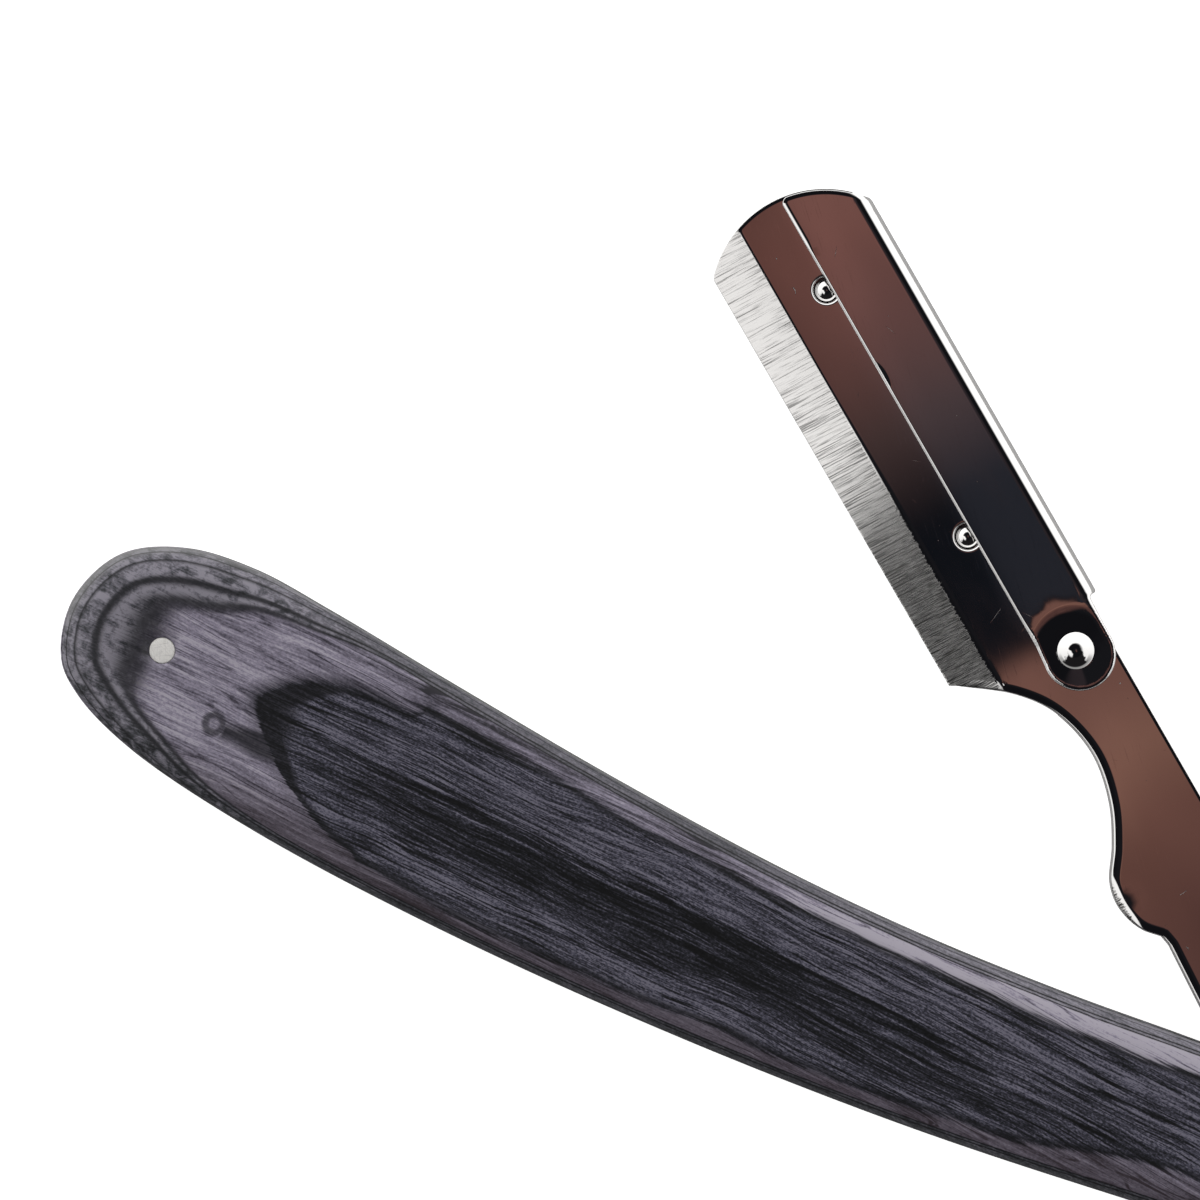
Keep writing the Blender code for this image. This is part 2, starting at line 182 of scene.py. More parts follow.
def inside(points, loop):
    """Whether each point is inside the closed loop."""
    a = np.asarray(loop, float)
    b = np.roll(a, -1, 0)
    x, y = points[:, 0, None], points[:, 1, None]
    spans = (a[:, 1] > y) != (b[:, 1] > y)
    rise = np.where(b[:, 1] == a[:, 1], 1, b[:, 1] - a[:, 1])
    crossing = (b[:, 0] - a[:, 0]) * (y - a[:, 1]) / rise + a[:, 0]
    return (spans & (x < crossing)).sum(1) % 2 == 1


ROW_SHARES = [0.03, 0.08, 0.15, 0.24, 0.36, 0.5, 0.65, 0.82, 1.0, 1.12]
NEAREST = 0.028  # loose points this share of the width from an edge, or nearer, are dropped


def offsets(loop, width, inward):
    """Points inside (or outside) the loop, at shares of the local width from it."""
    a = np.asarray(loop, float)
    ahead = np.roll(a, -1, 0) - np.roll(a, 1, 0)
    ahead /= np.linalg.norm(ahead, axis=1)[:, None]
    area = (a[:, 0] * np.roll(a[:, 1], -1) - a[:, 1] * np.roll(a[:, 0], -1)).sum()
    normal = np.stack([-ahead[:, 1], ahead[:, 0]], 1) * math.copysign(1, area) * (1 if inward else -1)
    return np.concatenate([a + normal * (width(a) * share)[:, None] for share in ROW_SHARES])


def planned(outline, holes, width, hole_width, lines=(), extra=()):
    """Triangles that fill a plan outline with holes: (points, triangles, distance to the outline,
    distance to the holes). Rows of points follow every edge, and `lines` are kept as edges."""
    rows = [offsets(outline, width, True)]
    rows += [offsets(hole, lambda p: np.full(len(p), hole_width), False) for hole in holes]
    loose = np.concatenate(rows + [np.asarray(extra, float).reshape(-1, 2)])
    keep = inside(loose, outline) & (edge_distance(loose, outline) > NEAREST * width(loose))
    for hole in holes:
        keep &= ~inside(loose, hole) & (edge_distance(loose, hole) > NEAREST * hole_width)
    loose = loose[keep]
    corners, edges = [], []
    for chain, closed in [(loop, 1) for loop in (outline, *holes)] + [(one, 0) for one in lines]:
        first, count = len(corners), len(chain)
        corners += list(chain)
        edges += [(first + k, first + (k + 1) % count) for k in range(count - 1 + closed)]
    points = [Vector(p) for p in corners] + [Vector(p) for p in loose]
    points, _, triangles, *_ = delaunay_2d_cdt(points, edges, [], 0, 1e-5)
    points = np.array([tuple(p) for p in points])
    triangles = np.array([t for t in triangles if len(t) == 3])
    middle = points[triangles].mean(1)
    in_hole = np.any([inside(middle, hole) for hole in holes], 0)
    triangles = triangles[inside(middle, outline) & ~in_hole]
    used, index = np.unique(triangles, return_inverse=True)
    points, triangles = points[used], index.reshape(triangles.shape)
    from_holes = np.min([edge_distance(points, hole) for hole in holes], 0)
    return points, triangles, edge_distance(points, outline), from_holes


def thick(name, points, triangles, top, bottom):
    """A closed body between two heights over a triangulated plan."""
    return between_skins(name, triangles, *(np.column_stack([points, z]) for z in (top, bottom)))


def between_skins(name, triangles, top, bottom):
    """A closed body between two copies of a triangulated plan, given each copy's 3-D points."""
    mesh = bmesh.new()
    upper = [mesh.verts.new(p) for p in top]
    lower = [mesh.verts.new(p) for p in bottom]
    sides = {}
    for a, b, c in triangles:
        mesh.faces.new((upper[a], upper[b], upper[c]))
        mesh.faces.new((lower[c], lower[b], lower[a]))
        for p, q in ((a, b), (b, c), (c, a)):
            if (q, p) in sides:
                del sides[q, p]
            else:
                sides[p, q] = True
    for p, q in sides:
        mesh.faces.new((upper[q], upper[p], lower[p], lower[q]))
    return finished(name, mesh)


def linked(name, data):
    """A new object in the scene."""
    made = bpy.data.objects.new(name, data)
    bpy.context.collection.objects.link(made)
    return made


def finished(name, mesh):
    """An object from a bmesh in millimetres."""
    bmesh.ops.scale(mesh, verts=mesh.verts, vec=(MM, MM, MM))
    bmesh.ops.recalc_face_normals(mesh, faces=mesh.faces)
    data = bpy.data.meshes.new(name)
    mesh.to_mesh(data)
    mesh.free()
    data.shade_smooth()
    data.set_sharp_from_angle(angle=SHARP_ANGLE)
    return linked(name, data)


def roll(distance, width, steep, tilt=0.13, more=0.13):
    """How far a polished edge has dropped: a gentle slope over the width, then a small round."""
    steep = steep + 0 * distance
    gentle = np.clip(width - distance, 0, None)
    ease = 0.15 * width
    drop = tilt * (np.sqrt(gentle**2 + ease**2) - ease) + more * gentle**2 / (2 * width)
    close = np.clip(steep - distance, 0, steep)
    return drop + steep - np.sqrt(np.maximum(steep**2 - close**2, 0))


FLAT_SPACING, FLAT_CLEARANCE = 0.9, 0.6


def flat_grid(low, high, shape, holes, margin):
    """A grid of points over a plan's flat middle, clear of its edges, that keeps it truly flat."""
    x, y = np.meshgrid(*(np.arange(a, b, FLAT_SPACING) for a, b in zip(low, high)))
    grid = np.column_stack([x.ravel(), y.ravel()])
    keep = inside(grid, shape) & (edge_distance(grid, shape) > margin)
    for hole in holes:
        keep &= ~inside(grid, hole) & (edge_distance(grid, hole) > FLAT_CLEARANCE)
    return list(grid[keep])


def skinned(mesh, rings, count):
    """Faces between each two rings of vertices. Corners may repeat, and a ring of one is a point."""
    for low, high in zip(rings, rings[1:]):
        for k in range(count):
            n = k + 1
            corners = [low[k % len(low)], low[n % len(low)], high[n % len(high)], high[k % len(high)]]
            mesh.faces.new(list(dict.fromkeys(corners)))


def turned(name, profile, centre):
    """A body turned round an upright axis from (radius, height) points, closed if it comes back."""
    mesh = bmesh.new()
    closed = profile[0] == profile[-1]
    rings = []
    for radius, height in profile[:-1] if closed else profile:
        ring = circle(centre, radius) if radius else [centre]
        rings.append([mesh.verts.new((p[0], p[1], height)) for p in ring])
    skinned(mesh, rings + rings[:1] if closed else rings, ROUND_STEPS)
    return finished(name, mesh)


def placed(piece, body, node, finish):
    """Puts a piece on its CAD body, in place of its CAD node."""
    piece.data.materials.append(finish)
    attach(piece, body)
    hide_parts(node)


def placed_on_arm(piece, body, node, finish):
    """Puts a steel piece, made in the arm's own axes, on its CAD body."""
    piece.data.transform(ARM_AXES)
    placed(piece, body, node, finish)


# -------- node graphs

def operators(operation):
    """A math node as an operator: with the value first, and with the value second."""
    def first(value, other):
        return value.graph.math(operation, value, other)

    def second(value, other):
        return value.graph.math(operation, other, value)

    return first, second


class Value:
    """What a node gives. Arithmetic with it adds math nodes to its graph."""

    __add__, __radd__ = operators("ADD")
    __sub__, __rsub__ = operators("SUBTRACT")
    __mul__, __rmul__ = operators("MULTIPLY")
    __truediv__, __rtruediv__ = operators("DIVIDE")
    __pow__, __rpow__ = operators("POWER")

    def __init__(self, graph, socket):
        self.graph = graph
        self.socket = socket

    def __abs__(self):
        return self.graph.math("ABSOLUTE", self)


class Graph:
    """Short calls that build a node tree."""

    def __init__(self, tree):
        self.tree = tree

    def put(self, socket, value):
        if isinstance(value, Value):
            self.tree.links.new(value.socket, socket)
        else:
            socket.default_value = value

    def node(self, kind, values=(), output=0, **settings):
        """A new node, given its inputs as a list or by name or number: one of its outputs."""
        made = self.tree.nodes.new(kind)
        for name, setting in settings.items():
            setattr(made, name, setting)
        for key, value in values.items() if isinstance(values, dict) else enumerate(values):
            if value is not None:
                self.put(made.inputs[key], value)
        return Value(self, made.outputs[output])

    def math(self, operation, *values):
        return self.node("ShaderNodeMath", values, operation=operation)

    def most(self, *values):
        return self.math("MAXIMUM", *values)

    def least(self, *values):
        return self.math("MINIMUM", *values)

    def root(self, value):
        return self.math("SQRT", value)

    def vector(self, operation, first, second=None, scale=None):
        values = {0: first, 1: second, "Scale": scale}
        return self.node("ShaderNodeVectorMath", values, operation=operation)

    def split(self, vector):
        made = self.node("ShaderNodeSeparateXYZ", [vector]).socket.node
        return [Value(self, output) for output in made.outputs]

    def noise(self, x, y, z=0.0, detail=2.0, rough=0.5, distortion=0.0):
        place = self.node("ShaderNodeCombineXYZ", (x, y, z))
        return self.node("ShaderNodeTexNoise", {"Vector": place, "Scale": 1.0, "Detail": detail,
                                                "Roughness": rough, "Distortion": distortion})

    def step(self, value, low, high, start=0.0, end=1.0):
        """A smooth change from start to end as the value goes from low to high."""
        values = (value, low, high, start, end)
        return self.node("ShaderNodeMapRange", values, interpolation_type="SMOOTHSTEP")

    def band(self, value, low, high, soft):
        """1 where the value is between low and high, fading over `soft` outside them."""
        rise = self.step(value, low - soft, low)
        return rise * self.step(value, high, high + soft, 1.0, 0.0)

    def mix(self, share, first, second):
        return self.node("ShaderNodeMix", {0: share, 6: first, 7: second}, 2, data_type="RGBA")

    def ramp(self, value, stops):
        made = self.node("ShaderNodeValToRGB", [value])
        elements = made.socket.node.color_ramp.elements
        while len(elements) < len(stops):
            elements.new(0.5)
        for element, (position, colour) in zip(elements, stops):
            element.position = position
            element.color = colour
        return made

    def dye(self, value, *stops):
        """A colour ramp of stops given as (position, red, green, blue) in display values."""
        return self.ramp(value, [(position, srgb(*colour)) for position, *colour in stops])

    def bump(self, height, strength, distance):
        values = {"Height": height, "Strength": strength, "Distance": distance * MM}
        return self.node("ShaderNodeBump", values)


class Surface(Graph):
    """A material's node tree, with the place on the object in millimetres, x and y turned."""

    def __init__(self, name, turn=0.0):
        self.material = bpy.data.materials.new(name)
        self.material.use_nodes = True
        super().__init__(self.material.node_tree)
        coords = self.node("ShaderNodeTexCoord", output="Object")
        x, y, self.z = self.split(self.vector("SCALE", coords, scale=1 / MM))
        self.x, self.y = rotated(x, y, turn)

    def finish(self, colour, rough, relief=None, metal=0.0, specular=0.5, glow=0.0):
        """The material. Its relief is (height, strength, distance in millimetres)."""
        inputs = {"Base Color": colour, "Roughness": rough, "Metallic": metal,
                  "Specular IOR Level": specular, "Emission Strength": glow}
        if relief:
            inputs["Normal"] = self.bump(*relief)
        for name, value in inputs.items():
            self.put(self.tree.nodes["Principled BSDF"].inputs[name], value)
        return self.material


def rotated(x, y, turn):
    """A place, seen from axes that are turned by an angle."""
    return x * math.cos(turn) + y * math.sin(turn), x * -math.sin(turn) + y * math.cos(turn)


def srgb(red, green, blue):
    """A linear colour from 0-255 display values."""
    def linear(value):
        value /= 255
        return value / 12.92 if value <= 0.04045 else ((value + 0.055) / 1.055) ** 2.4
    return (linear(red), linear(green), linear(blue), 1)


# -------- materials

# The top veneer's patch: where its nose begins, the nose's length, and half its width there
PATCH_END, PATCH_NOSE, PATCH_HALF = 95.0, 13.9, 6.9
KNOT = (-111.6, -1.56)


def wood(name, face, seed):
    """Dyed veneers, cut through by the scale's crown: the veneer that shows depends on how far
    a point lies below the blank's face, so its edges run as contours round the handle."""
    g = Surface(name)
    x, y = g.x, g.y
    depth = abs(g.z - face)
    along = g.most(x + 128.0, 0.0)
    # grain lines dip a little more and more towards the pivot end
    dip = along * 0.03 + along * along * 0.0003
    sway = (g.noise(x * 0.045, y * 0.12, seed) - 0.5) * 2.4
    across = y + dip + sway
    zed = depth * 1.6 + seed

    # figure, as noise around zero: long grain, streaks, fibres and specks
    def figure(per_x, per_y, detail, shift=0.0):
        return g.noise(x * per_x, across * per_y, zed + shift, detail, 0.62) - 0.5

    grain = figure(0.035, 0.7, 3.0)
    streaks = figure(0.075, 2.4, 3.0, 5.0)
    fibres = figure(0.28, 6.5, 3.0, 9.0)
    specks = figure(3.4, 6.5, 2.0, 14.0)
    broad = g.noise(x * 0.08, y * 0.15, seed + 3, 1.0) - 0.5
    veins = None
    for per_y, shift in ((0.8, 20.0), (1.15, 31.0)):
        rings = abs(figure(0.022, per_y, 0.5, shift))
        one = (g.step(rings, 0.004, 0.024, 1.0, 0.0)
               * g.step(figure(0.1, 0.7, 1.0, shift + 6), -0.12, 0.04))
        veins = one if veins is None else g.most(veins, one)

    # how far in from the handle's edge a point lies, from the depth below the crown
    taper = g.step(x, TAPER_FROM, TAPER_TO) * TAIL_TAPER
    fall = (depth - taper) / (SCALE_THICK - SIDE_WALL)
    fall = g.least(g.most(fall, 0.0), 1.0)
    share = g.root(1.0 - (1.0 - fall) ** 2.0)
    inset = (1.0 - share) * SHOULDER

    # the top veneer's patch: outside it where this is above zero, in millimetres
    low_side = g.step(y, 0.0, -4.0)
    margin = (2.75 - low_side * 0.75 + g.step(x, -34.0, -16.0) * (0.4 + low_side * 1.4)
              + g.step(x, -92.0, -70.0) * (low_side - 1.0) * 0.38)
    beside = margin - inset
    past = g.most(x * -1.0 - PATCH_END, 0.0)
    middle = -0.8 + past * 0.19
    off = (abs(y - middle) * (1 / PATCH_HALF)) ** 1.3
    end = (off + (past * (1 / PATCH_NOSE)) ** 2.0 - 1.0) * 5.6
    end = end + g.step(x, -96.0, -89.0, 0.0, -9.0)
    at_end = g.step(x, -86.0, -100.0)
    ragged = fibres * 0.9 + streaks * 0.8 + broad * 1.2
    outside = g.most(beside, end) + ragged * (1.0 - at_end * 0.35)
    crisp = at_end * g.step(y, 2.0, -1.5)
    patch = g.step(outside, -0.3 + crisp * 0.2, 0.3 - crisp * 0.2, 1.0, 0.0)
    by_stem = g.step(x, -101.0, -106.5) * g.band(y, -3.0, 5.0, 3.0)
    rim_from = -0.5 - at_end * 0.15 - by_stem * 1.3
    rim = g.step(outside - rim_from, -0.3, 0.35) * patch
    halo = (g.step(outside, -0.1, 0.55 + at_end * 1.1, 1.0, 0.0)
            * (0.3 + at_end * g.step(y, -3.0, 4.0) * 0.4))

    # a small knot beside the tail pin, joined to the patch by a stem
    from_knot = g.root((x - KNOT[0]) ** 2.0 + (y - KNOT[1]) ** 2.0)
    from_knot = from_knot + fibres * 0.5
    knot = g.band(from_knot, 0.68, 0.95, 0.38) + g.step(from_knot, 0.75, 0.0, 0.0, 0.35)
    stem_width = 0.75 + g.step(x, -110.0, -106.5) * 0.6
    from_stem = abs(y + 1.72 - (x + 109.0) * 0.06 + fibres * 0.9)
    stem = g.step(from_stem - stem_width, -0.6, 0.6, 1.0, 0.0) * g.band(x, -110.4, -105.0, 0.7)
    figure_dark = g.most(knot * 0.75, stem * 0.88)

    # top veneer: charcoal, with near-black streaks and a black zone along its middle
    zone_along = g.step(x, -110.0, -84.0, 0.15, 1.0) * g.step(x, -58.0, -22.0, 1.0, 0.3)
    zone = g.band(across + streaks * 4.0 + grain * 5.0, -1.5, 1.0, 2.3) * zone_along
    value = (0.72 + grain * 0.6 + streaks * 1.8 + fibres * 1.9 + specks * 1.5 - zone * 0.43
             - veins * 0.55)
    charcoal = g.dye(value, (0.0, 8, 9, 12), (0.3, 26, 27, 33), (0.55, 54, 54, 64), (0.8, 86, 85, 100),
                     (1.0, 120, 118, 133))

    # the veneers under it: mauve, then greys with a mottled figure
    # painted shade: the lower side is painted darker and browner, standing in for less light falling on
    # that side
    lower = g.step(y, -3.5, -8.5)
    # painted sheen: the upper band is painted lighter towards the pivot end, standing in for light falling
    # on it
    painted_upper_sheen = g.step(x, -68.0, -48.0) * g.step(y, -1.0, 3.0)
    upper_dark = g.band(x, -90.0, -62.0, 14.0) * g.step(y, -1.0, 3.0)
    in_tail = g.step(x, -100.0, -112.0)
    value = (0.69 + in_tail * 0.05 + grain * 0.7 + streaks * 1.5 + fibres * 1.3 + specks * 0.8
             + veins * (-0.55 + in_tail * 0.25) + painted_upper_sheen * 0.36 - upper_dark * 0.28
             - lower * 0.24)
    mauve = g.dye(value, (0.0, 40, 38, 46), (0.3, 84, 80, 93), (0.6, 126, 121, 137),
                  (0.85, 158, 152, 170), (1.0, 180, 175, 188))
    mauve = g.mix(lower * 0.5, mauve, srgb(70, 59, 64))
    # depth of the veneer edges: the blank's bow lifts the tail's upper side
    beside_pin = g.step(y, 6.0, 8.8, 0.0, 0.16) + g.step(y, -4.5, -8.0, 0.0, -0.18)
    beside_pin = beside_pin * g.step(x, -124.5, -113.5)
    bow = (0.085 + beside_pin) * g.step(x, -97.0, -107.0)
    calm = g.step(x, -100.0, -112.0, 1.0, 0.55)
    ragged = (broad * 0.05 + fibres * 0.05 + streaks * 0.03) * calm
    cut = depth + bow + y * g.step(x, -97.0, -107.0, 0.004, 0.0) + ragged
    feather = g.noise(x * 0.75, y * 0.75, zed, 4.0, 0.6, 0.6) - 0.5
    value = (0.5 + feather * (0.25 + in_tail * 2.3) + fibres * 0.9 + specks * 0.9 + streaks * 0.9
             + in_tail * 0.24 - lower * 0.18 + painted_upper_sheen * 0.22
             + in_tail * g.step(cut, 0.73, 0.66) * 0.16 - in_tail * g.step(y, -1.0, -6.0) * 0.22)
    grey = g.dye(value, (0.0, 28, 29, 33), (0.35, 70, 71, 77), (0.65, 110, 108, 118),
                 (1.0, 150, 147, 158))
    black = g.mix(g.most(specks * 1.6, 0.0), srgb(14, 15, 19), srgb(60, 60, 68))

    layers = [(0.565, black, 0.022), (0.615, grey, 0.02), (0.69, black, 0.024), (0.76, grey, 0.03),
              (1.08, black, 0.02), (1.13, grey, 0.015), (1.42, black, 0.015), (1.48, grey, 0.015),
              (1.76, black, 0.015), (1.82, mauve, 0.015), (2.14, black, 0.015), (2.2, charcoal, 0.015)]
    colour = g.mix(g.least(g.most(halo, figure_dark), 1.0), mauve, srgb(17, 18, 23))
    blurred = 1.0 + in_tail * 1.3
    for start, layer, soft in layers:
        shown = g.step(cut, blurred * -soft + start, blurred * soft + start)
        colour = g.mix(shown, colour, layer)
    # glue has stained the tail's veneers beside each line
    stain = g.most(g.band(cut, 0.575, 0.6, 0.03) * 0.7, g.band(cut, 0.715, 0.74, 0.05) * 0.85)
    stain = g.most(stain, g.band(cut, 1.07, 1.12, 0.08) * 0.35) * in_tail
    stain = g.most(stain * (0.7 + feather * 2.4 + streaks * 0.8), 0.0)
    colour = g.mix(g.least(stain, 0.85), colour, srgb(24, 25, 30))
    # painted sheen: the upper edge is painted paler, a highlight standing in for light grazing it
    painted_edge_sheen = g.step(depth, 1.0, 1.7) * g.step(y, 0.0, 4.0) * 0.62
    colour = g.mix(painted_edge_sheen * (1.0 - painted_upper_sheen * 0.3), colour, srgb(152, 153, 152))
    colour = g.mix(patch, colour, charcoal)
    colour = g.mix(rim * 0.85, colour, srgb(10, 11, 14))

    pores = g.step(fibres, 0.08, 0.2)
    height = fibres * -1.0 + specks * 0.5 - streaks * 0.6
    rough = 0.42 + pores * 0.16 + specks * 0.25
    return g.finish(colour, rough, (height, 0.3, 0.03), specular=0.35)


def steel_marks(g, seed):
    """Hairlines, fine scratches and specks on polished steel: (roughness, height, speck share)."""
    x, y = g.x, g.y
    skew = y + x * 0.22
    hair = g.noise(x * 0.22, skew * 9.0, seed, 3.0, 0.7)
    hairs = g.step(hair, 0.62, 0.8)
    cloud = g.noise(x * 0.12, y * 0.3, seed + 9, 2.0)
    speck = g.step(g.noise(x * 2.1, y * 2.1, seed + 2, 1.0, 0.5), 0.795, 0.83)
    scratch = None
    for turn, stretch, shift in ((0.5, 1.0, 0.0), (-0.9, 1.3, 4.0)):
        u, v = rotated(x, y, turn)
        ridge = abs(g.noise(u * (0.07 * stretch), v * 0.3, seed + shift, 0.0) - 0.5)
        shown = g.step(g.noise(u * 0.35, v * 0.9, seed + shift + 2, 1.0), 0.66, 0.74)
        one = g.step(ridge, 0.0008, 0.004, 1.0, 0.0) * shown
        scratch = one if scratch is None else g.most(scratch, one)
    rough = 0.025 + g.step(cloud, 0.45, 0.75) * 0.012 + hairs * 0.03 + speck * 0.4 + scratch * 0.4
    return rough, hairs * -1.0, speck


STEEL, STEEL_SPECK = (0.86, 0.855, 0.85, 1), (0.64, 0.63, 0.62, 1)


def mirror_steel(name, seed):
    """Polished steel all over."""
    g = Surface(name, REST_ANGLE)
    rough, height, speck = steel_marks(g, seed)
    colour = g.mix(speck * 0.6, STEEL, STEEL_SPECK)
    return g.finish(colour, rough, (height, 0.1, 0.004), metal=1.0)


def ground_steel(name, seed, side):
    """Polished steel with a ground bevel along its edge; the grooves run across the edge, and are painted
    darker towards the heel as painted shade.
    """
    g = Surface(name, REST_ANGLE)
    rough, height, speck = steel_marks(g, seed)
    x, y = g.x, g.y
    heel = g.step(x, 92.0, 60.0)
    jag = g.noise(x * 3.2, 0.0, seed, 3.0, 0.75) - 0.5
    ragged = jag * (0.35 + heel * 0.9) + (g.noise(x * 0.35, 0.0, seed + 4, 1.0) - 0.5) * 0.35
    facing = g.split(g.node("ShaderNodeNewGeometry", output="Normal"))[2]
    shown = g.step(facing * side, 0.1, 0.3)
    start = GRIND_FROM - 0.2 + heel * 0.16
    ground = g.step(y + ragged - start, 0.0, 0.12) * shown
    slanted = x - y * 0.03
    groove = g.noise(slanted * 6.5, y * 0.14, seed + 1, 3.0, 0.75)
    broad = g.noise(slanted * 1.1, y * 0.06, seed + 6, 2.0, 0.6)
    # painted shade: towards the heel the grooves are painted denser, standing in for the darker reflection
    # there; the grooves themselves are real grind marks
    line = (groove - 0.5) * (5.5 + heel * 6.5) + (broad - 0.5) * 1.3 - 0.08 + heel * 0.54
    line = g.least(g.most(line, 0.0), 1.0)
    steel = g.mix(speck * 0.6, STEEL, STEEL_SPECK)
    # painted shade: the groove colour darkens from the tip to the heel, in place of a darker reflection
    dark = g.mix(heel, (0.5, 0.495, 0.49, 1), (0.07, 0.07, 0.068, 1))
    grooves_and_painted_heel_shade = g.mix(line, (0.8, 0.79, 0.78, 1), dark)
    colour = g.mix(ground, steel, grooves_and_painted_heel_shade)
    rough = rough * (1.0 - ground) + ground * (0.13 + line * 0.4)
    relief = height * 0.15 - ground * line * 0.5
    return g.finish(colour, rough, (relief, 0.2, 0.012), metal=1.0)


def rubbed_steel(name, seed):
    """Pin ends filed flush and rubbed down: short scratches in crossing directions."""
    g = Surface(name)
    x, y = g.x, g.y
    scratches = None
    for turn, share in ((0.5, 1.0), (1.9, 0.8), (2.7, 0.6)):
        u, v = rotated(x, y, turn)
        one = g.step(g.noise(u * 0.9, v * 11.0, seed + turn, 3.0, 0.7), 0.5, 0.7) * share
        scratches = one if scratches is None else g.most(scratches, one)
    colour = g.mix(scratches, (0.93, 0.92, 0.9, 1), (0.72, 0.71, 0.7, 1))
    rough = 0.68 + scratches * 0.2
    return g.finish(colour, rough, (scratches, 0.5, 0.02), metal=0.8)


def turned_brass(name):
    g = Surface(name)
    radius = g.root(g.x ** 2.0 + g.y ** 2.0)
    rings = g.noise(radius * 9.0, g.z * 6.0, 2.0, 3.0, 0.6)
    dull = g.noise(g.x * 0.8, g.y * 0.8, g.z, 3.0)
    colour = g.mix(g.step(dull, 0.35, 0.7), (0.72, 0.52, 0.24, 1), (0.45, 0.31, 0.15, 1))
    rough = 0.24 + dull * 0.25
    return g.finish(colour, rough, (rings, 0.25, 0.01), metal=1.0)


def pressed_fibre(name):
    g = Surface(name)
    sheets = g.noise(g.x * 0.3, g.y * 0.3, g.z * 5.0, 3.0, 0.6)
    grit = g.noise(g.x * 7.0, g.y * 7.0, g.z * 7.0, 2.0)
    colour = g.mix(sheets * 0.6 + grit * 0.4, srgb(22, 22, 25), srgb(58, 56, 60))
    rough = 0.5 + grit * 0.25
    return g.finish(colour, rough, (sheets + grit, 0.3, 0.02))


# -------- handle

def reach(outline, start, direction):
    """Distance from a point to the outline, the way that the direction points."""
    a = np.asarray(outline, float)
    side = np.roll(a, -1, 0) - a
    across = direction[0] * side[:, 1] - direction[1] * side[:, 0]
    across = np.where(abs(across) < 1e-12, 1e-12, across)
    gap = a - start
    away = (gap[:, 0] * side[:, 1] - gap[:, 1] * side[:, 0]) / across
    share = (gap[:, 0] * direction[1] - gap[:, 1] * direction[0]) / across
    return away[(away > 0) & (share >= -1e-6) & (share <= 1 + 1e-6)].min()


def spokes(steps, fan):
    """Rays from the midline round the whole handle, from the pivot end's upper side: (number of
    the midline point, the point, direction)."""
    middle = curve(MIDLINE, steps)[::-1]
    ahead = [(q - p) / np.linalg.norm(q - p) for p, q in zip(middle, middle[1:])]
    ahead = [ahead[0]] + [p + q for p, q in zip(ahead, ahead[1:])] + [ahead[-1]]
    ahead = [d / np.linalg.norm(d) for d in ahead]
    upper = [(k, p, np.array((d[1], -d[0]))) for k, (p, d) in enumerate(zip(middle, ahead))]
    lower = [(k, p, -d) for k, p, d in reversed(upper)]

    def fanned(k, start, first):
        turns = [math.pi * n / fan for n in range(1, fan)]
        return [(k, start, np.array((first[0] * math.cos(t) - first[1] * math.sin(t),
                                     first[0] * math.sin(t) + first[1] * math.cos(t)))) for t in turns]

    tail = fanned(len(middle) - 1, middle[-1], upper[-1][2])
    end = fanned(0, middle[0], lower[-1][2])
    return upper + tail + lower + end


def crown(x, inset):
    """Height of a scale's outer face over its inner face, at a distance in from the outline."""
    share = min(1.0, inset / SHOULDER)
    rise = (SCALE_THICK - SIDE_WALL) * math.sqrt(1 - (1 - share) ** 2)
    along = min(1.0, max(0.0, (x - TAPER_FROM) / (TAPER_TO - TAPER_FROM)))
    return SIDE_WALL + rise - TAIL_TAPER * along**2 * (3 - 2 * along)


def scale(node, inner, outward, finish):
    """One scale: flat inside, with a crowned outer face and softened inner edges."""
    mesh = bmesh.new()
    edge = curve(OUTLINE, 24, closed=True)
    rays = [(k, p, d, reach(edge, p, d)) for k, p, d in spokes(18, 48)]

    def ring(inset, height=None):
        made = []
        for _, p, d, far in rays:
            q = p + d * (far - inset)
            rise = crown(q[0], inset) if height is None else height
            made.append(mesh.verts.new((q[0], q[1], inner + outward * rise)))
        return made

    rings = [ring(0.12, 0.0), ring(0.035, 0.035), ring(0.0, 0.12), ring(0.0, 0.4)]
    steps = [SHOULDER * (1 - math.cos(math.radians(a))) for a in range(0, 90, 5)]
    rings += [ring(inset) for inset in steps] + [ring(SHOULDER)]
    mesh.faces.new(rings[0])
    ridge = {}
    for k, p, _, far in rays:
        if k not in ridge:
            ridge[k] = mesh.verts.new((p[0], p[1], inner + outward * crown(p[0], far)))
    between = []
    for k, p, d, far in rays:
        q = p + d * (far - SHOULDER) * 0.5
        between.append(mesh.verts.new((q[0], q[1], inner + outward * crown(q[0], SHOULDER))))
    rings += [between, [ridge[k] for k, *_ in rays]]
    skinned(mesh, rings, len(rays))
    made = finished(f"fine_{node}", mesh)
    for centre in ((0, 0), TAIL_PIN):
        drill(made, centre, PIN_RADIUS + PIN_SEAM)
    placed(made, "handle", node, finish)


def drill(piece, centre, radius):
    """Cuts a round hole right through, and applies the cut."""
    low, high = HANDLE_LOW - 2, HANDLE_HIGH + 2
    cutter = turned("cutter", [(0, low), (radius, low), (radius, high), (0, high)], centre)
    change = piece.modifiers.new("hole", "BOOLEAN")
    change.solver = "EXACT"
    change.object = cutter
    solved = piece.evaluated_get(bpy.context.evaluated_depsgraph_get())
    cut = bpy.data.meshes.new_from_object(solved)
    piece.modifiers.clear()
    piece.data = cut
    bpy.data.objects.remove(cutter)


def pin(node, centre, low, high, finish):
    """A rod with eased ends, filed very slightly domed."""
    def end(at, way):
        return [(0, at), (PIN_RADIUS * 0.5, at - way * 0.006), (PIN_RADIUS * 0.85, at - way * 0.02),
                (PIN_RADIUS - 0.05, at - way * 0.035), (PIN_RADIUS, at - way * 0.09)]

    made = turned(f"fine_{node}", end(low, -1) + end(high, 1)[::-1], centre)
    placed(made, "handle", node, finish)


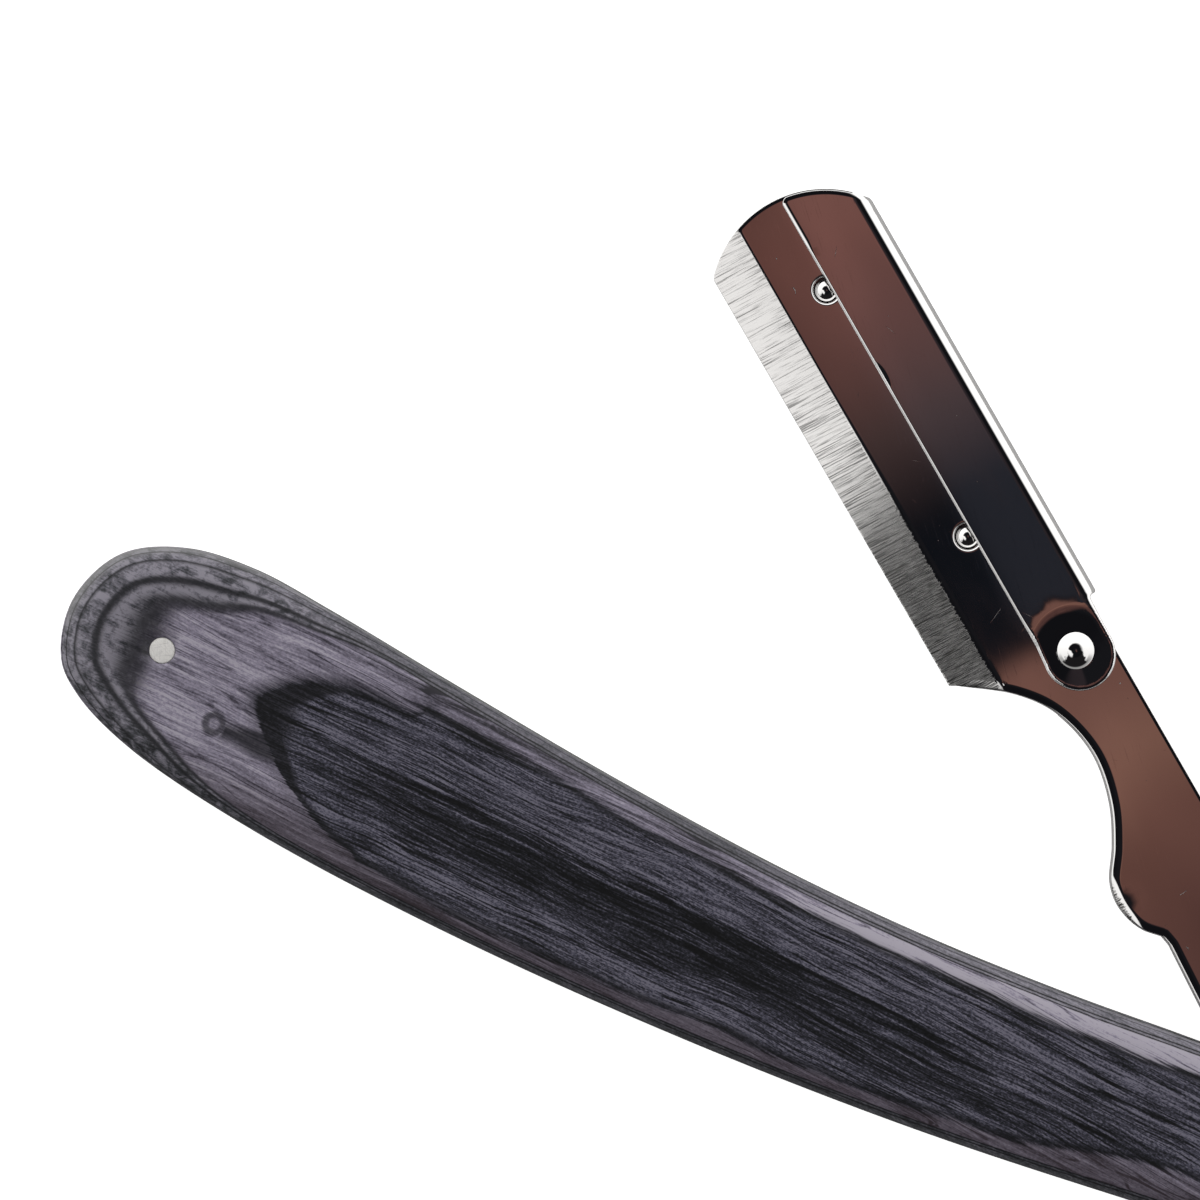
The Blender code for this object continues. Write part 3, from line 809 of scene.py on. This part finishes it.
def washer(node, outer, inner, centre=(0, 0), ease=0.1):
    """A flat ring as thick as its CAD node, with eased outer edges."""
    low, high = heights(node)
    between = outer - ease * 0.3
    profile = [(inner, low), (outer - ease, low), (between, low + ease * 0.3), (outer, low + ease),
               (outer, high - ease), (between, high - ease * 0.3), (outer - ease, high), (inner, high),
               (inner, low)]
    return turned(f"fine_{node}", profile, centre)


def wedge(finish):
    """The spacer between the scales at the tail, set in a little from their outline."""
    edge = curve(OUTLINE, 12, closed=True)
    shape = [p + d * (reach(edge, p, d) - WEDGE_INSET) for _, p, d in spokes(18, 40)]
    shape = resampled([p for p in shape if p[0] < WEDGE_FROM], 0.8)
    hole = circle(TAIL_PIN, PIN_RADIUS + PIN_SEAM, 40)
    points, triangles, gap, _ = planned(shape, [hole], lambda p: np.full(len(p), 0.3), 0.2)
    drop = roll(gap, 0.3, 0.2, 0.1)
    low, high = heights("tail_wedge")
    made = thick("fine_tail_wedge", points, triangles, high - drop, low + drop)
    placed(made, "handle", "tail_wedge", finish)


def handle():
    scale("back_scale", GAP_LOW, -1, wood("veneers_back", HANDLE_LOW, 41.0))
    scale("front_scale", GAP_HIGH, 1, wood("veneers_front", HANDLE_HIGH, 7.0))
    wedge(pressed_fibre("pressed_fibre"))
    rubbed = rubbed_steel("rubbed_steel", 3.0)
    brass = turned_brass("turned_brass")
    pin("tail_pin", TAIL_PIN, *heights("tail_pin"), rubbed)
    pin("pivot_pin", (0, 0), HANDLE_LOW, HANDLE_HIGH, rubbed)
    for node in ("pivot_washer_back", "pivot_washer_front"):
        placed(washer(node, 4.0, PIN_BORE), "handle", node, brass)


# -------- arm

def tip_arc(shrink, low_y, high_y, steps):
    """The rounded tip, from the back side's y to the edge side's, `shrink` inside the arm's."""
    radius = TIP_RADIUS - shrink
    start, end = (math.degrees(math.asin((y - TIP_CENTRE[1]) / radius)) for y in (low_y, high_y))
    return arc(TIP_CENTRE, radius, start, end, steps)


def line(start, end, spacing=0.5):
    """Points along a straight line."""
    parts = math.ceil(math.dist(start, end) / spacing)
    return [np.array(start) + (np.array(end) - np.array(start)) * k / parts for k in range(parts + 1)]


def blade_arm(finish):
    """Tang, tail and front leaf. The ground bevel keeps a crisp edge; all the rest is rolled."""
    shape = [(8, BACK_EDGE)] + tip_arc(0, BACK_EDGE + 0.15, EDGE_TIP[1] - 0.3, 60)
    shape += [EDGE_TIP, EDGE_HEEL] + curve(THROAT, 14) + curve(TANG_EDGE, 14)
    shape = resampled(shape, 0.3)
    holes = [circle(place, STUD_HOLE) for place in STUDS.values()]
    holes += [circle(RIVET, RIVET_HOLE, 40), circle((0, 0), PIN_BORE, 40)]

    def width(p):
        throat = smooth(p[:, 0], 66, 56) * smooth(p[:, 1], -3, 0)
        return 0.32 + 0.48 * throat

    def steepness(p):
        return 0.04 + 0.1 * smooth(p[:, 0], 60, 56) * smooth(p[:, 1], -3, 0)

    rows = (5.05, 5.2, 5.35, 5.45, 5.53, 5.62, 5.7)  # through the bevel's soft shoulder
    lines = [line((EDGE_HEEL[0] - 2.5, at), (EDGE_TIP[0] + 4, at)) for at in rows]
    lines = [[p for p in one if inside(np.array([p]), shape)[0] and edge_distance([p], shape)[0] > 0.15]
             for one in lines]
    step = [(LEAF_ROOT + along, across) for along in np.linspace(-0.4, 0.4, 9)
            for across in np.arange(-4.4, 1.3, 0.3)]
    flat = flat_grid((-18, -4), (103, 4.7), shape, holes, 1.25)
    flat = [p for p in flat if abs(p[0] - LEAF_ROOT) > 0.8]
    points, triangles, gap, hole_gap = planned(shape, holes, width, 0.3, lines, step + flat)
    x, y = points.T
    on_bevel = smooth(y, GRIND_FROM - 0.6, GRIND_FROM + 0.4)
    on_bevel *= smooth(x, EDGE_HEEL[0] - 1.6, EDGE_HEEL[0] - 0.2)
    rolled = roll(gap, width(points), steepness(points), 0.12, 0.04) * (1 - on_bevel)
    rolled += roll(gap, 0.06, 0.04) * on_bevel
    sunk = roll(hole_gap, 0.24, 0.2, 0.12, 0.1)
    # the bevel starts through a soft shoulder, and is steeper at the tip than at the heel
    slope = 0.15 + 0.066 * smooth(x, 66, 85)
    start = GRIND_FROM - 0.1
    shoulder = 0.6 - 0.36 * smooth(x, 66, 90)
    into = np.clip((y - start) / shoulder + 1, 0, 1)
    ground = slope * (shoulder * (into**3 - into**4 / 2) + np.maximum(y - start, 0))
    top = TANG_HIGH - rolled - sunk - ground
    thin = smooth(x, LEAF_ROOT - 0.2, LEAF_ROOT + 0.2)
    bottom = TANG_LOW + (LEAF_LOW - TANG_LOW) * thin + roll(gap, 0.45, 0.2) * (1 - thin)
    placed_on_arm(thick("fine_blade_arm", points, triangles, top, bottom), "arm", "blade_arm", finish)


def back_leaf(finish):
    """The plate behind the front leaf, with a ground bevel on its rear side."""
    shape = tip_arc(0.3, BACK_EDGE + 0.35, EDGE_TIP[1] - 0.8, 50) + curve(BACK_LEAF, 12)
    shape += arc(RIVET, BACK_LEAF_ROOT, 110, 250, 40) + [(RIVET[0] + 3, BACK_EDGE + 0.35)]
    shape = resampled(shape, 0.35)
    holes = [circle(RIVET, 1.1, 40)] + [circle(place, 0.75, 40) for place in STUDS.values()]
    lines = [line((60, GRIND_FROM + side), (101.5, GRIND_FROM + side)) for side in (-0.05, 0, 0.05)]
    points, triangles, gap, _ = planned(shape, holes, lambda p: np.full(len(p), 0.3), 0.1, lines)
    y = points[:, 1]
    ground = np.maximum(y - GRIND_FROM, 0) * 0.15
    top = BACK_HIGH - roll(gap, 0.08, 0.05)
    bottom = BACK_LOW + roll(gap, 0.3, 0.06) * smooth(y, GRIND_FROM + 0.4, GRIND_FROM) + ground
    placed_on_arm(thick("fine_back_leaf", points, triangles, top, bottom), "leaf", "back_leaf", finish)


DOME_STEPS = 28
POINT, POINT_ROUND, BRIM = 0.02, 0.06, 0.06


def domed(node, foot, head, seat, rim, place, body, finish, collar=None):
    """A round-headed pin: a straight shank, and a spherical dome over a narrow rounded brim.
    A collar is a cone round the head's foot: (its radius, its height)."""
    low, top = heights(node)
    rise = top - rim
    sphere = (head**2 + rise**2) / (2 * rise)
    widest = math.asin(head / sphere)
    turns = [widest * (1 - k / DOME_STEPS) for k in range(DOME_STEPS)]
    dome = [(sphere * math.sin(a), top - sphere * (1 - math.cos(a))) for a in turns]
    # the crown comes to a very slight point, left by forming it
    dome = [(r, z - POINT * (math.hypot(r, POINT_ROUND) - POINT_ROUND)) for r, z in dome]
    skirt = [(collar[0], seat), (head, collar[1])] if collar else [(head - BRIM, seat), (head, seat + BRIM)]
    profile = [(0, low), (foot - 0.05, low), (foot, low + 0.05), (foot, seat)] + skirt + dome + [(0, top)]
    profile = [p for p in profile if p[0] == 0 or p[0] > 0.04]
    placed_on_arm(turned(f"fine_{node}", profile, place), body, node, finish)


# -------- swing clamp

# The sheet's middle line: flat, a gentle lead-in, a tight bend, and a flat spine
BEND_MIDDLE = BEND_RADIUS - SHEET / 2
LEAD_LENGTH, LEAD_TURN = 0.5, 0.1
BEND_Y = CLAMP_SPINE + SHEET / 2 + BEND_MIDDLE * (1 - math.sin(LEAD_TURN))
LEAD_Y = BEND_Y + LEAD_LENGTH * math.sin(LEAD_TURN) / LEAD_TURN
FRONT_FLAT = CLAMP_EDGE - LEAD_Y
BEND_LENGTH = LEAD_LENGTH + BEND_MIDDLE * (math.pi / 2 - LEAD_TURN)
LEAD_DROP = LEAD_LENGTH * (1 - math.cos(LEAD_TURN)) / LEAD_TURN
SPINE_FLAT = CLAMP_HIGH - CLAMP_LOW - SHEET - 2 * (LEAD_DROP + BEND_MIDDLE * math.cos(LEAD_TURN))
UNFOLDED = 2 * (FRONT_FLAT + BEND_LENGTH) + SPINE_FLAT


def folded(v, height):
    """(y, z) of the sheet at v across the flat blank, `height` out from its middle surface."""
    half = np.minimum(v, UNFOLDED - v)
    into = np.clip(half - FRONT_FLAT, 0, BEND_LENGTH)
    lead = np.minimum(into, LEAD_LENGTH) * LEAD_TURN / LEAD_LENGTH
    turn = lead + np.maximum(into - LEAD_LENGTH, 0) / BEND_MIDDLE
    y = LEAD_Y + np.maximum(FRONT_FLAT - half, 0) - LEAD_LENGTH * np.sin(lead) / LEAD_TURN
    y -= BEND_MIDDLE * (np.sin(turn) - np.sin(lead)) + height * np.sin(turn)
    z = CLAMP_HIGH - SHEET / 2 - LEAD_LENGTH * (1 - np.cos(lead)) / LEAD_TURN
    z -= BEND_MIDDLE * (np.cos(lead) - np.cos(turn)) - height * np.cos(turn)
    z -= np.clip(half - FRONT_FLAT - BEND_LENGTH, 0, SPINE_FLAT / 2)
    return y, np.where(v <= UNFOLDED / 2, z, CLAMP_LOW + CLAMP_HIGH - z)


def clamp_half():
    """One half of the blank's outline: the tip end from the long edge to the spine, then the step
    and the tongue from the spine back to the long edge, as two lists."""
    corner = 0.6
    radius = TIP_RADIUS - 0.15

    def tip_x(y):
        return TIP_CENTRE[0] + math.sqrt(radius**2 - (y - TIP_CENTRE[1]) ** 2)

    middle = (tip_x(CLAMP_EDGE - corner) - corner, CLAMP_EDGE - corner)
    tip = [(x, CLAMP_EDGE - y) for x, y in arc(middle, corner, 90, 0, 10)]
    for v in np.linspace(corner + 0.3, UNFOLDED / 2, 60):
        tip.append((tip_x(float(folded(np.array([v]), 0)[0][0])), v))
    foot = CLAMP_EDGE - (TONGUE[1] - TONGUE_RADIUS)
    fillet = 0.3
    inner = (CLAMP_STEP - fillet, foot + 0.1 + fillet)
    back = [(CLAMP_STEP, UNFOLDED / 2), (CLAMP_STEP, inner[1])] + arc(inner, fillet, 0, -90, 6)[1:]
    back += [(CLAMP_STEP - 1.5, foot + 0.06)]
    back += [(x, CLAMP_EDGE - y) for x, y in arc(TONGUE, TONGUE_RADIUS, 268, 80, 60)]
    return tip, back + [(TONGUE[0] + 2.6, 0.0)]


def swing_clamp(finish):
    """A flat blank with rolled edges, bent into a U over the head's back."""
    tip, back = clamp_half()
    tip_rear, back_rear = ([(x, UNFOLDED - v) for x, v in one[::-1]] for one in (tip, back))
    shape = resampled(tip + tip_rear[1:] + back_rear + back[1:], 0.35)
    rivet_v = CLAMP_EDGE - RIVET[1]
    holes = [circle((RIVET[0], v), RIVET_HOLE, 40) for v in (rivet_v, UNFOLDED - rivet_v)]
    rows = np.linspace(FRONT_FLAT - 0.15, UNFOLDED - FRONT_FLAT + 0.15, 56)
    grid = [(x, v) for v in rows for x in np.arange(CLAMP_STEP + 0.8, 99.6, 1.5)]
    grid += [(NICK[0] + dx, CLAMP_EDGE - NICK[1] + dy) for dx in np.linspace(-1.8, 1.8, 49)
             for dy in np.linspace(-0.5, 0.9, 29)]
    grid += [(TONGUE[0] + r * math.cos(t), CLAMP_EDGE - TONGUE[1] + r * math.sin(t))
             for r in np.arange(1.2, DISH_RADIUS + 0.25, 0.13)
             for t in np.linspace(0, 2 * math.pi, 96, False)]

    def tongue_part(p):
        return smooth(p[:, 0], CLAMP_STEP + 2, CLAMP_STEP - 1)

    def width(p):
        return 0.2 + 0.2 * np.maximum(tongue_part(p), smooth(p[:, 0], 97, 99))

    for low, rivet in zip((0.0, UNFOLDED - FRONT_FLAT + 0.5), (rivet_v, UNFOLDED - rivet_v)):
        flat = flat_grid((CLAMP_STEP - 6, low), (100, low + FRONT_FLAT - 0.5), shape, holes, 0.6)
        grid += [p for p in flat if math.dist(p, (RIVET[0], rivet)) > DISH_RADIUS + 0.35]
    points, triangles, gap, _ = planned(shape, holes, width, 0.2, (), grid)
    x, v = points.T
    half = np.minimum(v, UNFOLDED - v)
    on_flat = smooth(half, FRONT_FLAT + 1.2, FRONT_FLAT + 0.2)
    at_tip = smooth(x, 97, 99)
    crisp = 0.17 - 0.14 * np.maximum(at_tip, 0.4 * (1 - on_flat))
    drop = roll(gap, width(points), crisp)
    # the thumbnail nick slopes down to the long edge
    across_nick = np.sqrt(np.clip(1 - ((x - NICK[0]) / NICK_HALF) ** 2, 0, 1))
    scoop = np.clip(NICK_REACH * across_nick - (v - CLAMP_EDGE + NICK[1] + 0.42), 0, None)
    scoop = np.where(v < 2, scoop, 0)
    scoop = NICK_SLOPE * (np.sqrt(scoop**2 + NICK_EASE**2) - NICK_EASE)
    # the tongue is pressed in round the rivet, less on the side away from the head
    from_x, from_v = x - RIVET[0], half - rivet_v
    from_rivet = np.hypot(from_x, from_v)
    away = smooth(-from_x / np.maximum(from_rivet, 0.01), 0.2, 0.9)
    press = 0.125 - 0.045 * away
    inward = np.clip(DISH_RADIUS - from_rivet, 0, 3.0)
    ease = np.minimum(inward / DISH_EASE, 1)
    dished = press * (DISH_EASE * (ease**3 - ease**4 / 2) + np.maximum(inward - DISH_EASE, 0))
    outer = SHEET / 2 - drop - scoop - dished
    inner = -SHEET / 2 + roll(gap, 0.12, 0.08, 0.1, 0.0) - 0.25 * dished
    skins = [np.column_stack([x, *folded(v, height)]) for height in (outer, inner)]
    placed_on_arm(between_skins("fine_swing_clamp", triangles, *skins), "clamp", "swing_clamp", finish)


def arm():
    blade_arm(ground_steel("ground_steel_front", 11.0, 1.0))
    back_leaf(ground_steel("ground_steel_back", 23.0, -1.0))
    swing_clamp(mirror_steel("mirror_steel_clamp", 31.0))
    polished = mirror_steel("mirror_steel_heads", 17.0)
    for node, place in STUDS.items():
        top = heights(node)[1]
        collar = (STUD_HOLE - 0.03, top - 0.52)
        domed(node, STUD_SHANK, STUD_HEAD, BACK_HIGH + 0.05, top - 0.45, place, "leaf", polished, collar)
    top = heights("clamp_rivet")[1]
    domed("clamp_rivet", RIVET_SHANK, RIVET_HEAD, top - 1.02, top - 0.62, RIVET, "arm", polished)
    burr = washer("clamp_rivet_burr", RIVET_HEAD, RIVET_SHANK + 0.03, RIVET, 0.08)
    placed_on_arm(burr, "arm", "clamp_rivet_burr", polished)


# -------- studio

VIEW_CENTRE = (-83.65, 22.21)
VIEW_WIDTH = 109.1
VIEW_HEIGHT = 8.0
VIEW_TURN = math.radians(22.6)
VIEW_DISTANCE = 600.0
FLOOR_RADIUS = 4  # metres


def camera():
    """Straight above the razor, and turned so that the handle lies as it does in the photo."""
    data = bpy.data.cameras.new("camera")
    data.sensor_width = 36
    data.lens = data.sensor_width * VIEW_DISTANCE / VIEW_WIDTH
    data.clip_start, data.clip_end = 0.01, 10
    made = linked("camera", data)
    made.location = (VIEW_CENTRE[0] * MM, VIEW_CENTRE[1] * MM, (VIEW_HEIGHT + VIEW_DISTANCE) * MM)
    made.rotation_euler.z = VIEW_TURN
    bpy.context.scene.camera = made


def floor():
    mesh = bmesh.new()
    bmesh.ops.create_circle(mesh, cap_ends=True, segments=96, radius=FLOOR_RADIUS)
    data = bpy.data.meshes.new("floor")
    mesh.to_mesh(data)
    mesh.free()
    made = linked("floor", data)
    made.location.z = -0.2 * MM
    g = Surface("white_paper")
    fibre = g.noise(g.x * 0.8, g.y * 0.8, 0.0, 3.0)
    colour = g.mix(fibre, (0.68, 0.68, 0.68, 1), (0.72, 0.72, 0.72, 1))
    # the paper is over-exposed for the camera only, so that it doesn't wash out the reflections
    glow = g.node("ShaderNodeLightPath", output="Is Camera Ray") * 0.95
    paper = g.finish(colour, 0.9 + fibre * 0.1, specular=0.0, glow=glow)
    made.data.materials.append(paper)


def studio():
    """A white room with a dark brown flag overhead, which the flat steel mirrors, and a dark
    ring round the flag, which its rolled edges mirror."""
    world = bpy.data.worlds.new("studio")
    world.use_nodes = True
    bpy.context.scene.world = world
    g = Graph(world.node_tree)
    x, y, z = g.split(g.node("ShaderNodeTexCoord", output="Generated"))
    up = g.most(z, 0.02)

    def towards(angle):
        """How far the ray leans towards a compass direction."""
        return x * math.cos(angle) + y * math.sin(angle)

    # where the ray meets a sheet at the camera's height, along and across the arm, in millimetres
    along = towards(REST_ANGLE) / up * VIEW_DISTANCE
    across = towards(REST_ANGLE + math.pi / 2) / up * VIEW_DISTANCE
    wander = g.noise(along * 0.06, across * 0.05, 4.0, 2.0)
    patch = (wander - 0.5) * 3.0
    mottle = g.noise(along * 0.05, across * 0.16, 9.0, 3.0)
    stops = [(-110, 0.085, 0.04, 0.035), (-60, 0.085, 0.04, 0.035), (-50, 0.107, 0.049, 0.041),
             (-42, 0.138, 0.063, 0.05), (-36, 0.21, 0.103, 0.077), (-29, 0.16, 0.075, 0.06),
             (-22.4, 0.17, 0.08, 0.063), (-20.4, 0.005, 0.006, 0.0085), (-8, 0.005, 0.006, 0.0085),
             (0, 0.056, 0.034, 0.033), (8, 0.125, 0.057, 0.05), (18, 0.185, 0.079, 0.066),
             (26, 0.17, 0.075, 0.062), (45, 0.05, 0.026, 0.024)]
    low, high = stops[0][0], stops[-1][0]
    # the leaf beside the clamp mirrors a strip where the dark part reaches further, and is duller
    leaf = g.step(across, -32.7, -32.1)
    clamp_shift = (1.0 - leaf) * g.band(along, -26.0, -19.0, 5.0) * 3.4
    shifted = along + patch + leaf * g.step(along, -4.0, -14.0) * 2.2 + clamp_shift
    card = g.ramp((shifted - low) / (high - low),
                  [((at - low) / (high - low), (*colour, 1)) for at, *colour in stops])
    dull = leaf * g.step(along, -2.0, 20.0) * -0.27
    card = g.vector("SCALE", card, scale=0.58 + mottle * 0.86 + dull)
    haze = (1.0 - leaf) * g.step(along, -25.0, -20.0) * g.step(along, 20.0, -4.0, 0.2, 1.0)
    card = g.vector("ADD", card, g.vector("SCALE", (0.0135, 0.0137, 0.018), scale=haze))
    # beside and beyond the strip that the flats mirror, the flag is black
    flag = g.band(across, -54.0, -18.0, 30.0) * g.band(along, -200.0, 30.0, 20.0)
    beside = g.mix(g.step(across, -48.0, -60.0), (0.009, 0.009, 0.011, 1), (0.026, 0.02, 0.023, 1))
    card = g.mix(flag, beside, card)
    radius = g.root(1.0 - z * z) / up
    card = g.mix(g.step(radius, 0.15, 0.22), card, (0.006, 0.006, 0.0075, 1))

    # the room: brighter over the handle's back edge, with a dark panel on the other side
    over = towards(math.pi / 2 + VIEW_TURN)
    blur = g.noise(x * 4.0, y * 4.0, z * 4.0, 3.0)
    aside = abs(towards(VIEW_TURN) - 0.03) + (blur - 0.5) * 0.5
    dim = g.band(z, 0.16, 0.42, 0.1) * g.step(over, -0.1, -0.5) * -0.5
    room = g.vector("SCALE", (1.0, 0.99, 0.98), scale=1.12 + over * 0.3 + dim)
    bevel_side = across / (radius * VIEW_DISTANCE)
    wedge = g.step(over * -0.3 - aside * 1.0, -0.56, -0.4)
    bevel_light = g.step(bevel_side, 0.75, 0.93) * g.step(z, 0.8, 0.88)
    panel = wedge * g.step(over, 0.1, -0.05) * g.step(z, 0.22, 0.34) * (1.0 - bevel_light)
    stand = g.step(over, -0.1, 0.0) * g.step(aside, 0.25, 0.42, 1.0, 0.0) * g.step(z, 0.8, 0.9)
    room = g.mix(g.most(panel, stand), room, (0.012, 0.011, 0.012, 1))
    edge = 0.6 - g.step(bevel_side, 0.72, 0.93) * 0.27
    soft = 0.045 + g.step(bevel_side, -0.3, -0.8) * 0.13
    colour = g.mix(g.step((radius - edge) / soft, -1.0, 1.0), card, room)
    background = g.tree.nodes["Background"]
    g.put(background.inputs["Color"], colour)
    background.inputs["Strength"].default_value = 1.0
    bpy.context.scene.view_settings.view_transform = "Standard"


handle()
arm()
camera()
floor()
studio()
